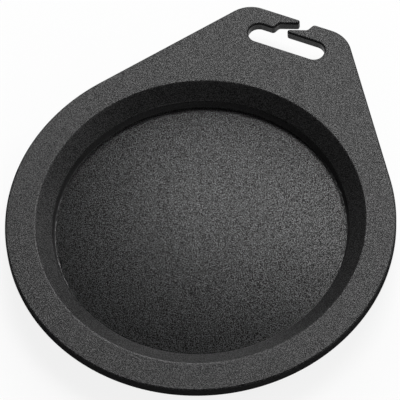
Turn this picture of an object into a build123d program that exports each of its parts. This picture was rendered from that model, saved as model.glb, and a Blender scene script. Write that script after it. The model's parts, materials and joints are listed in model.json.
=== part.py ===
from build123d import *
import math
import os

# A push-in lens cap, moulded in one piece: a flat rim with a strap tab round a dished plug.
# Sizes are in millimetres and angles in degrees. +Z is the front of the cap, +Y runs along
# the tab, and the plug stands on Z = 0 with its axis on the Z axis.

# Plug, which is pressed into the mouth of the lens barrel and whose foot stands below the floor
plug_radius = 23.4
plug_lead = 0.8
foot_width = 2.4
foot_drop = 0.65
wall = 1.5

# Dish in the front of the plug: a cone, a steep wall and a crowned floor
dish_depth = 3.15
cone_depth = 1.7
cone_run = 2.5
wall_draft = 2.5
floor_crown = 1.5
floor_fillet = 0.15
throat_round = 0.5
mouth_round = 0.6

# Hollow under the floor: a flat middle and a cone that falls away with the crown
hollow_middle_radius = 7.0

# Rim round the plug, and the bevel along every edge of the rim, the tab and its slot
rim_overhang = 5.5
rim_thickness = 1.75
edge_bevel = 0.2

# Tab, whose sides are tangent to the rim and meet a straight top edge
tab_length = 9.4
tab_top_width = 16.3
tab_corner_radius = 4.7

# Strap slot across the tab
slot_length = 12.25
slot_width = 3.2

# Two fingers above the slot, one over the other, and the slanted gap that lets a strap in
gap_width = 1.07
gap_slant = 20.0
finger_overlap = 1.1
outer_tip_width = 0.7
inner_tip_width = 0.56
finger_tip_radius = 0.32
step_run = 2.2
step_slant = 66.0
step_radius = 0.6

# How far a cutting shape runs past the face that it cuts through
cut_past = 0.5
# Largest share of a finger tip's width that one of its corners takes
tip_share = 0.55
# Largest share of a finger tip's corner that the bevel of its edge takes
bevel_share = 0.9

# Heights and radii worked out from the sizes above
front = dish_depth + wall + foot_drop
rim_back = front - rim_thickness
throat_height = front - cone_depth
floor_edge_height = front - dish_depth
floor_middle_height = floor_edge_height + floor_crown
rim_radius = plug_radius + rim_overhang
throat_radius = plug_radius - wall
mouth_radius = throat_radius + cone_run
floor_radius = throat_radius - (throat_height - floor_edge_height) * math.tan(math.radians(wall_draft))
cone_slope = cone_depth / cone_run
hollow_height = foot_drop + floor_crown * (1 - (hollow_middle_radius / floor_radius) ** 2)

# Places in the tab worked out from the sizes above
tab_reach = rim_radius + tab_length
gap_slope = math.tan(math.radians(gap_slant))
gap_half_height = gap_width / 2 / math.cos(math.radians(gap_slant))
tip_reach = finger_overlap / 2
tip_edge_rise = tip_reach * gap_slope + gap_half_height
gap_middle = tab_reach - outer_tip_width - tip_edge_rise
slot_top = gap_middle - tip_edge_rise - inner_tip_width

# Corners and bevels, each no larger than the finger tips have room for
outer_tip_radius = min(finger_tip_radius, tip_share * outer_tip_width)
inner_tip_radius = min(finger_tip_radius, tip_share * inner_tip_width)
edge_cut = min(edge_bevel, bevel_share * min(outer_tip_radius, inner_tip_radius))


def corner_nearest(shape, point):
    """The vertex of a flat shape that lies nearest to a point."""
    return shape.vertices().sort_by_distance((*point, 0))[0]


def across_gap(height):
    """The height as far from the middle of the gap as this one is, on its other side."""
    return 2 * gap_middle - height


def twin(point):
    """The point half a turn away round the middle of the gap, where the other finger lies."""
    return (-point[0], across_gap(point[1]))


def rim_outline():
    """Plan of the rim and its tab, before the slot is cut."""
    corner_x = tab_top_width / 2
    corner_angle = math.atan2(tab_reach, corner_x)
    touch_angle = corner_angle - math.acos(rim_radius / math.hypot(corner_x, tab_reach))
    touch_x = rim_radius * math.cos(touch_angle)
    touch_y = rim_radius * math.sin(touch_angle)
    tab = Polygon(
        (touch_x, touch_y),
        (corner_x, tab_reach),
        (-corner_x, tab_reach),
        (-touch_x, touch_y),
        align=None,
    )
    outline = Circle(rim_radius) + tab
    return fillet(outline.vertices().group_by(Axis.Y)[-1], tab_corner_radius)


def rim_plan():
    """Plan of the rim and tab with the strap slot and the gap between its fingers cut out."""
    step_slope = math.tan(math.radians(step_slant))
    above_tab = tab_reach + cut_past
    tip = (tip_reach, gap_middle + tip_edge_rise)
    root = (-step_run, gap_middle - step_run * gap_slope + gap_half_height)

    def step_at(height):
        """Where the outer finger's step down to the slot is at this height."""
        return (root[0] - (root[1] - height) / step_slope, height)

    outer_finger_edge = [(tip_reach, above_tab), tip, root, step_at(across_gap(above_tab))]
    inner_finger_edge = [twin(point) for point in outer_finger_edge]
    gap = Polygon(*outer_finger_edge, *inner_finger_edge, align=None)
    slot = Pos(0, slot_top - slot_width / 2) * SlotOverall(slot_length, slot_width)
    plan = rim_outline() - slot - gap

    steps = [root, twin(root), step_at(slot_top), twin(step_at(across_gap(tab_reach)))]
    plan = fillet([corner_nearest(plan, point) for point in steps], step_radius)
    outer_tip = [tip, (tip_reach, tab_reach)]
    plan = fillet([corner_nearest(plan, point) for point in outer_tip], outer_tip_radius)
    inner_tip = [twin(tip), (-tip_reach, slot_top)]
    return fillet([corner_nearest(plan, point) for point in inner_tip], inner_tip_radius)


def rim_plate():
    """The flat rim and tab with every edge bevelled, still closed over the dish."""
    plate = Pos(0, 0, rim_back) * extrude(rim_plan(), rim_thickness)
    return chamfer(plate.faces().filter_by(Axis.Z).edges(), edge_cut)


def spin(profile):
    """Turn a profile, drawn as radius and height, round the plug's axis."""
    return revolve(Plane.XZ * profile, Axis.Z)


def plug_blank():
    """Solid plug, with a shoulder under the rim that runs one wall below the dish's cone."""
    drop_to_shoulder = wall * math.hypot(1, cone_slope)
    inside_rim = front - rim_thickness / 2
    shoulder_foot = front - (mouth_radius - plug_radius) * cone_slope - drop_to_shoulder
    shoulder_radius = mouth_radius - (front - inside_rim - drop_to_shoulder) / cone_slope
    profile = Polygon(
        (0, 0),
        (plug_radius, 0),
        (plug_radius, shoulder_foot),
        (shoulder_radius, inside_rim),
        (0, inside_rim),
        align=None,
    )
    return spin(chamfer(corner_nearest(profile, (plug_radius, 0)), plug_lead))


def dish():
    """The hollow in the front: a cone, a steep wall and a crowned floor."""
    above = front + cut_past
    floor_edge = (floor_radius, floor_edge_height)
    throat = (throat_radius, throat_height)
    floor = TangentArc((0, floor_middle_height), floor_edge, tangent=(1, 0))
    sides = Polyline(
        floor_edge,
        throat,
        (mouth_radius + cut_past / cone_slope, above),
        (0, above),
        (0, floor_middle_height),
    )
    profile = make_face([floor, sides])
    profile = fillet(corner_nearest(profile, floor_edge), floor_fillet)
    return spin(fillet(corner_nearest(profile, throat), throat_round))


def hollow_under_floor():
    """The shallow hollow under the crowned floor that keeps the cap clear of the front lens."""
    radius = plug_radius - foot_width
    profile = Polygon(
        (0, hollow_height),
        (hollow_middle_radius, hollow_height),
        (radius, foot_drop),
        (radius, -cut_past),
        (0, -cut_past),
        align=None,
    )
    return spin(profile)


def lens_cap():
    """The whole cap as one solid."""
    cap = rim_plate() + plug_blank() - dish() - hollow_under_floor()
    front_face = cap.faces().filter_by(Axis.Z).sort_by(Axis.Z)[-1]
    return fillet(front_face.inner_wires()[0].edges(), mouth_round)


os.makedirs("parts", exist_ok=True)
export_step(lens_cap(), "parts/lens_cap.step")
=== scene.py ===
"""Looks of a push-in lens cap with a strap tab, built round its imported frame.

Lengths in the classes are millimetres in the cap's own frame: +Z is the front of the cap, +Y runs
along the tab, and the plug stands on Z = 0. Angles are degrees. What goes to Blender is in metres.
"""
import json
import logging
import math
from dataclasses import dataclass
from enum import Enum
from typing import Any, Iterable, Mapping, NamedTuple, Sequence

import bpy
from mathutils import Matrix, Vector, geometry


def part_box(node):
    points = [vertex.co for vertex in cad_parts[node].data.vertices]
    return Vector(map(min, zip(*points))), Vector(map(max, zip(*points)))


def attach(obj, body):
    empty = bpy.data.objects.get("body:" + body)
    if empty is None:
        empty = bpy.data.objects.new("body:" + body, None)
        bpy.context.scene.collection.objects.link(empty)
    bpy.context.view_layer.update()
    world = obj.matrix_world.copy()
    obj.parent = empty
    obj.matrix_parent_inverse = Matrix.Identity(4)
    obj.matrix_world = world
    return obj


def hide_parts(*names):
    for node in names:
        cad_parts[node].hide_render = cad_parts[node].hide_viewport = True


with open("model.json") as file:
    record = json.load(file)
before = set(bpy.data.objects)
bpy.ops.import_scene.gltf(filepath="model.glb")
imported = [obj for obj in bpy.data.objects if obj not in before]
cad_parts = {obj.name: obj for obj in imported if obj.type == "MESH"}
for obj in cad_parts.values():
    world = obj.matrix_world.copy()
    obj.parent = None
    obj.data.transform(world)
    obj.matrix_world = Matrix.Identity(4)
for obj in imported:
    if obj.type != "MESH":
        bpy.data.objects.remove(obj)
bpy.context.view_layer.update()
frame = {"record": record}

LOG = logging.getLogger("lens_cap")
MM = 0.001
TINY = 1e-4
QUARTER_TURN = math.pi / 2
FEWEST_ARC_STEPS = 2
NOISE_MIDDLE = 0.5
Colour = tuple[float, float, float]
Angles = tuple[float, float, float]
WHITE = (1.0, 1.0, 1.0, 1.0)
UP = Vector((0, 0, 1))


class Zone(Enum):
    """Which of the cap's finishes a face gets, in the order of its material slots."""

    RIM = 0
    DISH_MOUTH = 1
    DISH_CONE = 2
    DISH_WALL = 3
    DISH_FLOOR = 4
    EDGE = 5
    SLOT = 6
    BACK = 7


class Node(Enum):
    """Kinds of shader node that the finishes and the studio use."""

    MATH = "ShaderNodeMath"
    VECTOR_MATH = "ShaderNodeVectorMath"
    SEPARATE = "ShaderNodeSeparateXYZ"
    MIX_SHADER = "ShaderNodeMixShader"
    COORDINATES = "ShaderNodeTexCoord"
    MAPPING = "ShaderNodeMapping"
    NOISE = "ShaderNodeTexNoise"
    BUMP = "ShaderNodeBump"
    LIGHT_PATH = "ShaderNodeLightPath"
    PRINCIPLED = "ShaderNodeBsdfPrincipled"
    EMISSION = "ShaderNodeEmission"
    BACKGROUND = "ShaderNodeBackground"
    MATERIAL_OUTPUT = "ShaderNodeOutputMaterial"
    WORLD_OUTPUT = "ShaderNodeOutputWorld"


class Value:
    """A number in a shader, whose arithmetic adds Math nodes to its graph."""

    def __init__(self, graph: "ShaderGraph", socket: bpy.types.NodeSocket) -> None:
        """Wrap an output socket of a node in the graph."""
        self.graph = graph
        self.socket = socket

    def __add__(self, other: "Value | float") -> "Value":
        """This number plus another."""
        return self.graph.math("ADD", self, other)

    def __sub__(self, other: "Value | float") -> "Value":
        """This number less another."""
        return self.graph.math("SUBTRACT", self, other)

    def __mul__(self, other: "Value | float") -> "Value":
        """This number times another."""
        return self.graph.math("MULTIPLY", self, other)

    def __rsub__(self, other: float) -> "Value":
        """A plain number less this one."""
        return self.graph.math("SUBTRACT", other, self)

    __radd__ = __add__
    __rmul__ = __mul__

    def at_least(self, low: float) -> "Value":
        """This number, or a lowest one where it falls below that."""
        return self.graph.math("MAXIMUM", self, low)


class ShaderGraph:
    """Adds nodes to one node tree, which it empties first."""

    def __init__(self, tree: bpy.types.NodeTree) -> None:
        """Start an empty graph in a tree."""
        self.tree = tree
        tree.nodes.clear()

    def node(
        self,
        kind: Node,
        settings: Mapping[str, Any] | None = None,
        sockets: Mapping[str | int, Any] | None = None,
    ) -> bpy.types.Node:
        """Add one node.

        Args:
            kind: Type of the node.
            settings: Properties of the node, set before its sockets.
            sockets: For each input, by name or number, a plain value or what is linked to it.

        Returns:
            The new node.
        """
        made = self.tree.nodes.new(kind.value)
        for name, setting in (settings or {}).items():
            setattr(made, name, setting)
        for key, source in (sockets or {}).items():
            if isinstance(source, Value):
                source = source.socket
            if isinstance(source, bpy.types.NodeSocket):
                self.tree.links.new(source, made.inputs[key])
            else:
                made.inputs[key].default_value = source
        return made

    def value(self, made: bpy.types.Node, output: str) -> Value:
        """Wrap a node's output as a number."""
        return Value(self, made.outputs[output])

    def math(self, operation: str, first: Value | float, second: Value | float) -> Value:
        """Join two numbers by a Math node."""
        made = self.node(Node.MATH, {"operation": operation}, {0: first, 1: second})
        return self.value(made, "Value")


@dataclass(frozen=True)
class MouldFinish:
    """Black plastic with the grain that one part of the mould leaves on it, and painted shade in the grain's
    pits.
    """

    name: str
    colour: Colour
    roughness: float
    specular_level: float
    grain_depth: float
    pit_shade_contrast: float
    grain_size: float = 0.115
    grain_steepness: float = 3.6
    grain_turn: Angles = (35.0, 25.0, 15.0)

    def grain(self, graph: ShaderGraph) -> Value:
        """Height of the grain.

        Args:
            graph: Graph of the finish.

        Returns:
            Noise from 0 in the pits to 1 on the crests, turned so that no face runs along its cells.
        """
        place = graph.node(Node.COORDINATES).outputs["Object"]
        turn = tuple(math.radians(angle) for angle in self.grain_turn)
        turned = graph.node(Node.MAPPING, sockets={"Vector": place, "Rotation": turn}).outputs["Vector"]
        sockets = {"Vector": turned, "Scale": 1 / (self.grain_size * MM), "Detail": 0.0}
        return graph.value(graph.node(Node.NOISE, sockets=sockets), "Fac")

    def plastic(self, graph: ShaderGraph, normal: bpy.types.NodeSocket, level: float) -> bpy.types.NodeSocket:
        """Plastic at one height of the grain, as a copy lit or shaded by painted light.

        Args:
            graph: Graph of the finish.
            normal: Direction that the grain's surface looks in.
            level: How much light it sends back, lowered in the pits as painted shade and raised on the crests
                as painted light; 1 is the finish's own mean.

        Returns:
            The shader's socket.
        """
        made = graph.node(
            Node.PRINCIPLED,
            sockets={
                "Base Color": (*(part * level for part in self.colour), 1.0),
                "Roughness": self.roughness,
                "Specular IOR Level": self.specular_level * level,
                "Normal": normal,
            },
        )
        return made.outputs["BSDF"]

    def material(self) -> bpy.types.Material:
        """Make the finish's material, whose grain is painted darker in its pits than on its crests, as the
        shade that falls into the pits.

        Returns:
            The new material.
        """
        made = bpy.data.materials.new(self.name)
        made.use_nodes = True
        graph = ShaderGraph(made.node_tree)
        height = self.grain(graph)
        relief = {"Strength": 1.0, "Distance": self.grain_depth * MM, "Height": height}
        normal = graph.node(Node.BUMP, sockets=relief).outputs["Normal"]
        # Painted shade and light: a darker copy of the plastic in the grain's pits and a lighter one on its
        # crests, mixed by the grain's height.
        lit_crest_share = 1 / (1 + self.pit_shade_contrast)
        mixed = graph.node(
            Node.MIX_SHADER,
            sockets={
                0: (height - NOISE_MIDDLE) * self.grain_steepness + lit_crest_share,
                1: self.plastic(graph, normal, 1 / self.pit_shade_contrast),
                2: self.plastic(graph, normal, self.pit_shade_contrast),
            },
        )
        graph.node(Node.MATERIAL_OUTPUT, sockets={"Surface": mixed.outputs["Shader"]})
        return made


# In each finish, the contrast of the grain is painted shade in its pits and painted light on its crests.
FINISHES: dict[Zone, MouldFinish] = {
    Zone.RIM: MouldFinish(
        name="grained_rim",
        colour=(0.0112, 0.0112, 0.0114),
        roughness=0.295,
        specular_level=0.152,
        grain_depth=0.016,
        pit_shade_contrast=2.3,
    ),
    Zone.DISH_MOUTH: MouldFinish(
        name="dish_mouth",
        colour=(0.0112, 0.0112, 0.0114),
        roughness=0.3,
        specular_level=0.182,
        grain_depth=0.014,
        pit_shade_contrast=2.3,
    ),
    Zone.DISH_CONE: MouldFinish(
        name="dish_cone",
        colour=(0.011, 0.011, 0.0112),
        roughness=0.305,
        specular_level=0.21,
        grain_depth=0.014,
        pit_shade_contrast=2.3,
    ),
    # Paler colour than the rest of the cap: painted light that lifts the shade on the dish's steep wall and
    # the fillet at its foot.
    Zone.DISH_WALL: MouldFinish(
        name="dish_wall",
        colour=(0.03, 0.03, 0.0305),
        roughness=0.5,
        specular_level=0.05,
        grain_depth=0.014,
        pit_shade_contrast=1.4,
    ),
    Zone.DISH_FLOOR: MouldFinish(
        name="dish_floor",
        colour=(0.0112, 0.0112, 0.0114),
        roughness=0.265,
        specular_level=0.125,
        grain_depth=0.016,
        pit_shade_contrast=3.9,
    ),
    Zone.EDGE: MouldFinish(
        name="matt_edge",
        colour=(0.0125, 0.0125, 0.0127),
        roughness=0.6,
        specular_level=0.0,
        grain_depth=0.014,
        pit_shade_contrast=1.4,
    ),
    Zone.SLOT: MouldFinish(
        name="slot_wall",
        colour=(0.0125, 0.0125, 0.0127),
        roughness=0.34,
        specular_level=0.17,
        grain_depth=0.012,
        pit_shade_contrast=1.4,
    ),
    Zone.BACK: MouldFinish(
        name="satin_back",
        colour=(0.0112, 0.0112, 0.0114),
        roughness=0.34,
        specular_level=0.14,
        grain_depth=0.012,
        pit_shade_contrast=1.8,
    ),
}


class PathPoint(NamedTuple):
    """A point of a flat path, and the direction there that leads out of the plastic."""

    place: Vector
    outward: Vector


@dataclass(frozen=True)
class Corner:
    """A corner of a flat path, which an arc rounds."""

    x: float
    y: float
    radius: float

    @property
    def place(self) -> Vector:
        """The sharp corner."""
        return Vector((self.x, self.y))


def left_of(way: Vector) -> Vector:
    """The direction a quarter turn to the left of another."""
    return Vector((-way.y, way.x))


def arc(centre: Vector, radius: float, start: float, turn: float, step: float) -> list[PathPoint]:
    """Points along an arc of a path that keeps the plastic on its left.

    Args:
        centre: Middle of the arc.
        radius: Radius of the arc.
        start: Angle of the first point round the middle, in radians.
        turn: How far the arc turns, in radians, positive to the left.
        step: Largest turn from one point to the next, in radians.

    Returns:
        The points, both ends among them.
    """
    count = max(FEWEST_ARC_STEPS, math.ceil(abs(turn) / step))
    points = []
    for number in range(count + 1):
        angle = start + turn * number / count
        ray = Vector((math.cos(angle), math.sin(angle)))
        points.append(PathPoint(centre + ray * radius, ray * math.copysign(1.0, turn)))
    return points


def round_corners(first: Vector, corners: Sequence[Corner], last: Vector, step: float) -> list[PathPoint]:
    """Round the corners of an open path that keeps the plastic on its left.

    Args:
        first: Where the path comes from.
        corners: Its corners in order.
        last: Where the path goes.
        step: Largest turn from one point to the next, in radians.

    Returns:
        The points of every arc, without the path's two ends.
    """
    stops = [first, *(corner.place for corner in corners), last]
    path: list[PathPoint] = []
    for before, corner, after in zip(stops, corners, stops[2:]):
        way_in = (corner.place - before).normalized()
        way_out = (after - corner.place).normalized()
        turn = math.atan2(way_in.x * way_out.y - way_in.y * way_out.x, way_in.dot(way_out))
        begin = corner.place - way_in * corner.radius * math.tan(abs(turn) / 2)
        spoke = left_of(way_in) * math.copysign(corner.radius, turn)
        start = math.atan2(-spoke.y, -spoke.x)
        for point in arc(begin + spoke, corner.radius, start, turn, step):
            if not path or (point.place - path[-1].place).length > TINY:
                path.append(point)
    return path


def divide_straights(path: Sequence[PathPoint], longest: float) -> list[PathPoint]:
    """Divide the straight runs of a closed path.

    Args:
        path: The closed path.
        longest: Longest run that stays whole.

    Returns:
        The path with points added on its long runs.
    """
    divided: list[PathPoint] = []
    for point, after in zip(path, [*path[1:], path[0]]):
        run = after.place - point.place
        count = math.ceil(run.length / longest)
        divided.extend(PathPoint(point.place + run * part / count, point.outward) for part in range(count))
    return divided


class Skin:
    """Gathers the vertices, normals and faces of one closed mesh, in millimetres."""

    def __init__(self) -> None:
        """Start an empty mesh."""
        self.places: list[Vector] = []
        self.normals: list[Vector] = []
        self.faces: list[Sequence[int]] = []
        self.zones: list[Zone] = []

    def vertex(self, place: Vector, normal: Vector) -> int:
        """Add one vertex.

        Args:
            place: Where it is.
            normal: Direction that the surface looks in there.

        Returns:
            Its number.
        """
        self.places.append(place)
        self.normals.append(normal)
        return len(self.places) - 1

    def face(self, corners: Sequence[int], zone: Zone) -> None:
        """Add one face, its corners counterclockwise seen from outside."""
        self.faces.append(corners)
        self.zones.append(zone)

    def bridge(self, first: Sequence[int], second: Sequence[int], zone: Zone | Sequence[Zone]) -> None:
        """Join two closed rings that have as many vertices by a strip of quads.

        Args:
            first: Ring that the strip starts from.
            second: Ring that it ends at.
            zone: Zone of the strip, or the zone of each of its quads.
        """
        zones = [zone] * len(first) if isinstance(zone, Zone) else zone
        for here, quad_zone in enumerate(zones):
            there = (here + 1) % len(first)
            self.face((first[here], first[there], second[there], second[here]), quad_zone)

    def lathe(
        self, path: Sequence[PathPoint], segments: int, zone: Zone, start: Sequence[int] | None = None
    ) -> list[list[int]]:
        """Turn a path, drawn as radius and height, round the Z axis.

        Args:
            path: The path, with the plastic on its left.
            segments: How many steps the turn has.
            zone: Zone of the new faces.
            start: Ring that the first ring of the path is joined to.

        Returns:
            The rings of the path in order.
        """
        rings = []
        for point in path:
            ring = []
            for number in range(segments):
                angle = math.tau * number / segments
                ray = Vector((math.cos(angle), math.sin(angle), 0))
                place = ray * point.place.x + UP * point.place.y
                ring.append(self.vertex(place, ray * point.outward.x + UP * point.outward.y))
            rings.append(ring)
        whole = [start, *rings] if start else rings
        for first, second in zip(whole, whole[1:]):
            self.bridge(first, second, zone)
        return rings

    def close_up(self, ring: Sequence[int], height: float, faces_up: bool, zone: Zone) -> None:
        """Close a small ring round the Z axis by triangles to a point on that axis.

        Args:
            ring: The ring, counterclockwise seen from above.
            height: Height of the point.
            faces_up: Whether the triangles look along +Z.
            zone: Zone of the new faces.
        """
        middle = self.vertex(UP * height, UP if faces_up else -UP)
        for here, corner in enumerate(ring):
            there = ring[(here + 1) % len(ring)]
            self.face((corner, there, middle) if faces_up else (middle, there, corner), zone)

    def fill(self, outer: Sequence[int], inner: Sequence[int], faces_up: bool, zone: Zone) -> None:
        """Fill the flat face between two rings with triangles.

        Args:
            outer: Ring round the outside of the face.
            inner: Ring round its hole.
            faces_up: Whether the face looks along +Z.
            zone: Zone of the new faces.
        """
        numbers = [*outer, *inner]
        flat = [self.places[number].xy for number in numbers]
        loops = [list(range(len(outer))), list(range(len(outer), len(numbers)))]
        inside_with_holes = 2
        found = geometry.delaunay_2d_cdt(flat, [], loops, inside_with_holes, TINY)
        _, _, triangles, origins, _, _ = found
        sources = [numbers[origin[0]] for origin in origins]
        for triangle in triangles:
            corners = [sources[corner] for corner in triangle]
            self.face(corners if faces_up else corners[::-1], zone)

    def build(self, name: str, finishes: Mapping[Zone, MouldFinish]) -> bpy.types.Object:
        """Make the mesh object.

        Args:
            name: Name of the object and its mesh.
            finishes: Finish of each zone.

        Returns:
            The new object, linked to the scene.
        """
        mesh = bpy.data.meshes.new(name)
        mesh.from_pydata([place * MM for place in self.places], [], self.faces, shade_flat=False)
        for zone in Zone:
            mesh.materials.append(finishes[zone].material())
        mesh.polygons.foreach_set("material_index", [zone.value for zone in self.zones])
        mesh.normals_split_custom_set_from_vertices(self.normals)
        mesh.update()
        made = bpy.data.objects.new(name, mesh)
        bpy.context.scene.collection.objects.link(made)
        return made


@dataclass
class StrapTab:
    """The tab at the top of the rim, with its strap slot and the two fingers that close it."""

    rim_radius: float
    reach: float
    slot_middle: float
    top_width: float = 16.3
    corner_radius: float = 4.7
    slot_length: float = 12.25
    slot_width: float = 3.2
    gap_width: float = 1.07
    gap_slant: float = 20.0
    finger_overlap: float = 1.1
    outer_tip_width: float = 0.7
    step_run: float = 2.2
    step_slant: float = 66.0
    step_radius: float = 0.6
    outer_tip_radius: float = 0.32
    inner_tip_radius: float = 0.308
    arc_step: float = 6.0
    rim_step: float = 1.25
    longest_run: float = 1.2

    def touch_point(self) -> Vector:
        """Find where the right side of the tab touches the round of the rim.

        Returns:
            The point that both share.
        """
        corner = Vector((self.top_width / 2, self.reach))
        angle = math.atan2(corner.y, corner.x) - math.acos(self.rim_radius / corner.length)
        return Vector((math.cos(angle), math.sin(angle))) * self.rim_radius

    def finger_corners(self) -> list[Corner]:
        """Corners of the slot and its fingers.

        Returns:
            The corners from the top edge right of the gap, round the slot, to the top edge left of it.
        """
        slope = math.tan(math.radians(self.gap_slant))
        half_gap = self.gap_width / 2 / math.cos(math.radians(self.gap_slant))
        tip_x = self.finger_overlap / 2
        rise = tip_x * slope + half_gap
        middle = self.reach - self.outer_tip_width - rise
        root_y = middle - self.step_run * slope + half_gap
        slot_top = self.slot_middle + self.slot_width / 2
        slot_bottom = self.slot_middle - self.slot_width / 2
        slot_end = self.slot_length / 2
        slot_round = self.slot_width / 2

        def step_x(height: float) -> float:
            """Where the outer finger's step is at a height."""
            return -self.step_run - (root_y - height) / math.tan(math.radians(self.step_slant))

        return [
            Corner(-step_x(2 * middle - self.reach), self.reach, self.step_radius),
            Corner(self.step_run, 2 * middle - root_y, self.step_radius),
            Corner(-tip_x, middle - rise, self.inner_tip_radius),
            Corner(-tip_x, slot_top, self.inner_tip_radius),
            Corner(slot_end, slot_top, slot_round),
            Corner(slot_end, slot_bottom, slot_round),
            Corner(-slot_end, slot_bottom, slot_round),
            Corner(-slot_end, slot_top, slot_round),
            Corner(step_x(slot_top), slot_top, self.step_radius),
            Corner(-self.step_run, root_y, self.step_radius),
            Corner(tip_x, middle + rise, self.outer_tip_radius),
            Corner(tip_x, self.reach, self.outer_tip_radius),
        ]

    def in_slot(self, point: PathPoint) -> bool:
        """Tell whether a point of the plan is on the slot or between the fingers.

        Args:
            point: The point.

        Returns:
            Whether the edge there looks into the opening.
        """
        low = self.slot_middle - self.slot_width / 2 - TINY
        high = self.reach - self.outer_tip_radius
        return abs(point.place.x) < self.slot_length / 2 + TINY and low < point.place.y < high

    def outline(self) -> list[PathPoint]:
        """Draw the plan of the rim and the tab.

        Returns:
            One closed path, counterclockwise, which runs through the gap and round the slot.
        """
        right = self.touch_point()
        left = Vector((-right.x, right.y))
        half_top = self.top_width / 2
        corners = [
            Corner(half_top, self.reach, self.corner_radius),
            *self.finger_corners(),
            Corner(-half_top, self.reach, self.corner_radius),
        ]
        path = round_corners(right, corners, left, math.radians(self.arc_step))
        start = math.atan2(left.y, left.x)
        turn = math.tau - start + math.atan2(right.y, right.x)
        rim = arc(Vector((0, 0)), self.rim_radius, start, turn, math.radians(self.rim_step))
        return divide_straights([*path, *rim], self.longest_run)


@dataclass
class LensCap:
    """The whole cap, one moulding: rim and tab, dished plug, and the hollow under its floor."""

    tab: StrapTab
    front: float
    rim_back: float
    plug_radius: float
    wall: float = 1.5
    dish_depth: float = 3.15
    cone_depth: float = 1.7
    cone_run: float = 2.5
    wall_draft: float = 2.5
    floor_crown: float = 1.5
    floor_fillet: float = 0.26
    throat_round: float = 0.45
    mouth_round: float = 0.6
    edge_round: float = 0.28
    plug_lead: float = 0.8
    foot_width: float = 2.4
    foot_round: float = 0.2
    hollow_middle_radius: float = 7.0
    hollow_round: float = 3.0
    shoulder_round: float = 0.3
    segments: int = 288
    floor_rings: int = 26
    edge_steps: int = 5
    profile_step: float = 8.0
    wall_finish_turn: float = 70.0

    @classmethod
    def from_frame(cls, record: Mapping[str, Any]) -> "LensCap":
        """Take the sizes that the frame has from its box and its mounts.

        Args:
            record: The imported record.

        Returns:
            The cap, ready to build.
        """
        _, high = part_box("lens_cap")
        mounts = {mount["name"]: mount for mount in record["mounts"]}
        tab = StrapTab(
            rim_radius=high.x / MM,
            reach=high.y / MM,
            slot_middle=mounts["strap_slot"]["pos_m"][1] / MM,
        )
        return cls(
            tab=tab,
            front=high.z / MM,
            rim_back=mounts["rim_seat"]["pos_m"][2] / MM,
            plug_radius=mounts["plug"]["dims"]["r_mm"],
        )

    @property
    def throat_radius(self) -> float:
        """Radius where the dish's cone meets its steep wall."""
        return self.plug_radius - self.wall

    @property
    def mouth_radius(self) -> float:
        """Radius where the dish's cone meets the front of the rim."""
        return self.throat_radius + self.cone_run

    @property
    def cone_lean(self) -> float:
        """How far the dish's cone looks up, from 0 on an upright wall to 1 on a flat face."""
        return self.cone_run / math.hypot(self.cone_run, self.cone_depth)

    @property
    def floor_edge_height(self) -> float:
        """Height of the sharp corner between the dish's wall and its floor."""
        return self.front - self.dish_depth

    @property
    def floor_radius(self) -> float:
        """Radius of the sharp corner between the dish's wall and its floor."""
        drop = self.dish_depth - self.cone_depth
        return self.throat_radius - drop * math.tan(math.radians(self.wall_draft))

    @property
    def dome_radius(self) -> float:
        """Radius of the ball that the crowned floor is part of."""
        return (self.floor_radius**2 + self.floor_crown**2) / (2 * self.floor_crown)

    def dish_cone(self) -> list[PathPoint]:
        """Draw the dish's mouth and cone.

        Returns:
            The path from the front of the rim down the cone to the top of the wall.
        """
        corners = [
            Corner(self.mouth_radius, self.front, self.mouth_round),
            Corner(self.throat_radius, self.front - self.cone_depth, self.throat_round),
        ]
        outside = Vector((self.mouth_radius + self.cone_run, self.front))
        below = Vector((self.floor_radius, self.floor_edge_height))
        return round_corners(outside, corners, below, math.radians(self.profile_step))

    def dish_floor(self) -> list[PathPoint]:
        """Draw the dish's floor.

        Returns:
            The path from the foot of the wall round the fillet and over the crown, nearly to the axis.
        """
        edge = Corner(self.floor_radius, self.floor_edge_height, self.floor_fillet)
        above = Vector((self.throat_radius, self.front - self.cone_depth))
        lean = math.asin(self.floor_radius / self.dome_radius)
        inwards = edge.place + Vector((-math.cos(lean), math.sin(lean)))
        path = round_corners(above, [edge], inwards, math.radians(self.profile_step))
        ball_middle = Vector((0, self.floor_edge_height + self.floor_crown - self.dome_radius))
        start = math.acos(path[-1].place.x / self.dome_radius)
        dome = arc(ball_middle, self.dome_radius, start, QUARTER_TURN - start, lean / self.floor_rings)
        return [*path, *dome[1:-1]]

    def underside(self) -> list[PathPoint]:
        """Draw the underside.

        Returns:
            The path from near the axis, over the foot and the plug, to the back of the rim.
        """
        slope = self.cone_depth / self.cone_run
        shoulder_drop = self.wall * math.hypot(1, slope)
        shoulder_foot = self.front - (self.mouth_radius - self.plug_radius) * slope - shoulder_drop
        shoulder_top = self.mouth_radius - (self.front - self.rim_back - shoulder_drop) / slope
        hollow_edge = self.floor_edge_height - self.wall
        rise = self.floor_crown * (1 - (self.hollow_middle_radius / self.floor_radius) ** 2)
        foot_inside = self.plug_radius - self.foot_width
        corners = [
            Corner(self.hollow_middle_radius, hollow_edge + rise, self.hollow_round),
            Corner(foot_inside, hollow_edge, self.foot_round),
            Corner(foot_inside, 0, self.foot_round),
            Corner(self.plug_radius - self.plug_lead, 0, self.foot_round),
            Corner(self.plug_radius, self.plug_lead, self.foot_round),
            Corner(self.plug_radius, shoulder_foot, self.shoulder_round),
            Corner(shoulder_top, self.rim_back, self.shoulder_round),
        ]
        middle = Vector((0, hollow_edge + rise))
        outside = Vector((self.tab.rim_radius, self.rim_back))
        return round_corners(middle, corners, outside, math.radians(self.profile_step))

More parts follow.
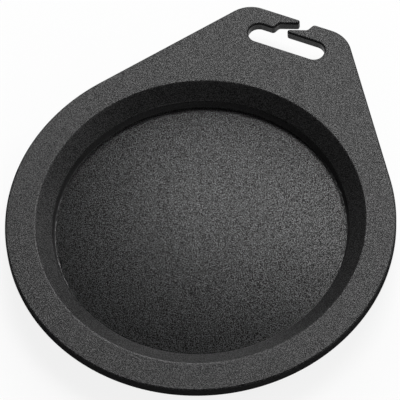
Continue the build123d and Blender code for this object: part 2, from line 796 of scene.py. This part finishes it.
    def edge_ring(self, skin: Skin, outline: Iterable[PathPoint], lean: float, height: float) -> list[int]:
        """Add one ring along the rounded edge of the rim and tab.

        Args:
            skin: Mesh that the ring goes to.
            outline: Plan of the rim and tab.
            lean: How far the surface there looks up, in radians.
            height: Height of the ring.

        Returns:
            The numbers of the ring's vertices.
        """
        inset = self.edge_round * (1 - math.cos(lean))
        ring = []
        for point in outline:
            place = point.place - point.outward * inset
            normal = (point.outward * math.cos(lean)).to_3d() + UP * math.sin(lean)
            ring.append(skin.vertex(Vector((place.x, place.y, height)), normal))
        return ring

    def rim_edge(self, skin: Skin) -> tuple[list[int], list[int]]:
        """Build the edge of the rim and tab, rounded at its back and its front.

        Args:
            skin: Mesh that the edge goes to.

        Returns:
            The ring at the back face and the ring at the front face.
        """
        outline = self.tab.outline()
        leans = [QUARTER_TURN * step / self.edge_steps for step in range(self.edge_steps + 1)]
        back = [
            self.edge_ring(skin, outline, -lean, self.rim_back + self.edge_round * (1 - math.sin(lean)))
            for lean in reversed(leans)
        ]
        front = [
            self.edge_ring(skin, outline, lean, self.front - self.edge_round * (1 - math.sin(lean)))
            for lean in leans
        ]
        upright = self.edge_steps // 2
        walls = [Zone.SLOT if self.tab.in_slot(point) else Zone.EDGE for point in outline]
        sides = [*back, front[0]]
        for first, second in zip(sides, sides[1:]):
            skin.bridge(first, second, walls)
        for first, second in zip(front[:upright], front[1 : upright + 1]):
            skin.bridge(first, second, Zone.EDGE)
        for first, second in zip(front[upright:], front[upright + 1 :]):
            skin.bridge(first, second, Zone.RIM)
        return back[0], front[-1]

    def build(self, finishes: Mapping[Zone, MouldFinish]) -> bpy.types.Object:
        """Build the cap and set it in the place of its CAD node.

        Args:
            finishes: Finish of each zone.

        Returns:
            The dressed cap.
        """
        skin = Skin()
        under = skin.lathe(self.underside(), self.segments, Zone.BACK)
        skin.close_up(under[0], skin.places[under[0][0]].z, False, Zone.BACK)
        back_ring, front_ring = self.rim_edge(skin)
        skin.fill(back_ring, under[-1], False, Zone.BACK)
        cone_path = self.dish_cone()
        in_mouth = sum(point.outward.y > self.cone_lean + TINY for point in cone_path)
        mouth = skin.lathe(cone_path[:in_mouth], self.segments, Zone.DISH_MOUTH)
        cone = skin.lathe(cone_path[in_mouth:], self.segments, Zone.DISH_CONE, mouth[-1])
        skin.fill(front_ring, mouth[0], True, Zone.RIM)
        floor_path = self.dish_floor()
        steep = math.sin(math.radians(self.wall_finish_turn))
        on_wall = sum(point.outward.y < steep for point in floor_path)
        wall = skin.lathe(floor_path[:on_wall], self.segments, Zone.DISH_WALL, cone[-1])
        floor = skin.lathe(floor_path[on_wall:], self.segments, Zone.DISH_FLOOR, wall[-1])
        skin.close_up(floor[-1], self.floor_edge_height + self.floor_crown, True, Zone.DISH_FLOOR)
        cap = skin.build("moulded_cap", finishes)
        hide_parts("lens_cap")
        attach(cap, "root")
        LOG.info("%s: %d faces", cap.name, len(cap.data.polygons))
        return cap


@dataclass
class Softbox:
    """A soft lamp that looks at the cap."""

    name: str
    azimuth: float
    elevation: float
    width: float
    height: float
    brightness: float
    distance: float = 1000.0

    def build(self, target: Vector) -> bpy.types.Object:
        """Hang the lamp.

        Args:
            target: The point that it looks at, in metres.

        Returns:
            The lamp's object.
        """
        lamp = bpy.data.lights.new(self.name, "AREA")
        lamp.shape = "RECTANGLE"
        lamp.size = self.width * MM
        lamp.size_y = self.height * MM
        lamp.energy = self.brightness * math.pi * lamp.size * lamp.size_y
        made = bpy.data.objects.new(self.name, lamp)
        made.matrix_world = look_at(target, self.azimuth, self.elevation, self.distance * MM)
        made.visible_camera = False
        bpy.context.scene.collection.objects.link(made)
        LOG.info("%s: %.2f W", self.name, lamp.energy)
        return made


def look_at(target: Vector, azimuth: float, elevation: float, distance: float, roll: float = 0.0) -> Matrix:
    """Place something that looks along its own -Z at a target.

    Args:
        target: The point that it looks at, in metres.
        azimuth: Its azimuth seen from the target; 0 looks along +Y.
        elevation: Its height over the horizon.
        distance: Its distance from the target, in metres.
        roll: How far it leans to its left round its line of sight.

    Returns:
        The matrix of its object.
    """
    across, rise, lean = (math.radians(angle) for angle in (azimuth, elevation, roll))
    right = Vector((math.cos(across), math.sin(across), 0))
    back = Vector((math.sin(across) * math.cos(rise), -math.cos(across) * math.cos(rise), math.sin(rise)))
    up = back.cross(right)
    turned_right = right * math.cos(lean) + up * math.sin(lean)
    turned_up = up * math.cos(lean) - right * math.sin(lean)
    turn = Matrix((turned_right, turned_up, back)).transposed()
    return Matrix.Translation(target + back * distance) @ turn.to_4x4()


@dataclass
class Studio:
    """A white floor in a room whose walls glow low down, most of all on one side."""

    floor_side: float = 6000.0
    floor_gap: float = 0.02
    floor_grey: float = 0.96
    white_share: float = 0.85
    ceiling_brightness: float = 0.12
    wall_brightness: float = 0.3
    wall_rise: float = 0.55
    glow_azimuth: float = 60.0
    glow_brightness: float = 3.0

    def floor(self) -> bpy.types.Object:
        """Lay the floor, which looks white and keeps the cap's shadow.

        Returns:
            The floor.
        """
        half = self.floor_side * MM / 2
        height = -self.floor_gap * MM
        corners = [(x, y, height) for x, y in ((-half, -half), (half, -half), (half, half), (-half, half))]
        mesh = bpy.data.meshes.new("studio_floor")
        mesh.from_pydata(corners, [], [range(len(corners))])
        mesh.materials.append(self.paper())
        made = bpy.data.objects.new("studio_floor", mesh)
        bpy.context.scene.collection.objects.link(made)
        return made

    def paper(self) -> bpy.types.Material:
        """Make the floor's material.

        Returns:
            White paper, which looks whiter to the eye and in reflections than the lamps make it.
        """
        made = bpy.data.materials.new("white_paper")
        made.use_nodes = True
        graph = ShaderGraph(made.node_tree)
        rays = graph.node(Node.LIGHT_PATH)
        seen = graph.value(rays, "Is Camera Ray") + graph.value(rays, "Is Glossy Ray")
        seen = seen + graph.value(rays, "Is Transmission Ray")
        matte = graph.node(
            Node.PRINCIPLED,
            sockets={
                "Base Color": (self.floor_grey, self.floor_grey, self.floor_grey, 1.0),
                "Roughness": 1.0,
                "Specular IOR Level": 0.0,
            },
        )
        white = graph.node(Node.EMISSION, sockets={"Color": WHITE, "Strength": 1.0})
        mixed = graph.node(
            Node.MIX_SHADER,
            sockets={0: seen * self.white_share, 1: matte.outputs["BSDF"], 2: white.outputs["Emission"]},
        )
        graph.node(Node.MATERIAL_OUTPUT, sockets={"Surface": mixed.outputs["Shader"]})
        return made

    def room(self) -> None:
        """Light the scene from the room's walls and its ceiling."""
        world = bpy.data.worlds.new("room")
        world.use_nodes = True
        graph = ShaderGraph(world.node_tree)
        way = graph.node(Node.COORDINATES).outputs["Generated"]
        height = graph.value(graph.node(Node.SEPARATE, sockets={"Vector": way}), "Z")
        across = math.radians(self.glow_azimuth)
        glow_way = (math.sin(across), -math.cos(across), 0.0)
        product = graph.node(Node.VECTOR_MATH, {"operation": "DOT_PRODUCT"}, {0: way, 1: glow_way})
        nearness = graph.value(product, "Value").at_least(0.0)
        low_down = (1 - height * (1 / self.wall_rise)).at_least(0.0)
        walls = self.wall_brightness + nearness * nearness * self.glow_brightness
        strength = self.ceiling_brightness + low_down * low_down * walls
        light = graph.node(Node.BACKGROUND, sockets={"Color": WHITE, "Strength": strength})
        graph.node(Node.WORLD_OUTPUT, sockets={"Surface": light.outputs["Background"]})
        bpy.context.scene.world = world


@dataclass
class PhotoCamera:
    """The camera, which sees the cap as the photograph does."""

    azimuth: float = 26.354
    elevation: float = 58.168
    roll: float = -4.342
    distance: float = 545.7
    lens: float = 333.0
    sensor: float = 36.0
    aim_right: float = -0.033
    aim_up: float = 2.771

    def build(self, front: float) -> bpy.types.Object:
        """Set up the camera and make it the scene's.

        Args:
            front: Height of the cap's front, whose middle the camera aims near.

        Returns:
            The camera's object.
        """
        middle = UP * front * MM
        turn = look_at(middle, self.azimuth, self.elevation, 0.0, self.roll).to_3x3()
        target = middle + turn @ Vector((self.aim_right, self.aim_up, 0)) * MM
        camera = bpy.data.cameras.new("photo_camera")
        camera.lens = self.lens
        camera.sensor_width = self.sensor
        made = bpy.data.objects.new("photo_camera", camera)
        made.matrix_world = look_at(target, self.azimuth, self.elevation, self.distance * MM, self.roll)
        bpy.context.scene.collection.objects.link(made)
        bpy.context.scene.camera = made
        return made


SOFTBOXES: list[Softbox] = [
    Softbox(
        name="main_softbox",
        azimuth=188.0,
        elevation=54.5,
        width=620.0,
        height=371.0,
        brightness=8.8,
    ),
    Softbox(
        name="back_softbox",
        azimuth=202.0,
        elevation=23.0,
        width=650.0,
        height=246.0,
        brightness=9.0,
    ),
    Softbox(
        name="right_softbox",
        azimuth=152.0,
        elevation=25.0,
        width=800.0,
        height=560.0,
        brightness=1.25,
    ),
    Softbox(
        name="side_softbox",
        azimuth=116.0,
        elevation=51.0,
        width=458.0,
        height=353.0,
        brightness=1.5,
    ),
]


def main() -> None:
    """Build the cap, the studio and the camera."""
    logging.basicConfig(level=logging.INFO, format="%(name)s: %(message)s")
    bpy.context.scene.view_settings.view_transform = "Standard"
    cap = LensCap.from_frame(frame["record"])
    cap.build(FINISHES)
    studio = Studio()
    studio.floor()
    studio.room()
    for softbox in SOFTBOXES:
        softbox.build(UP * cap.front * MM)
    PhotoCamera().build(cap.front)


if __name__ == "__main__":
    main()
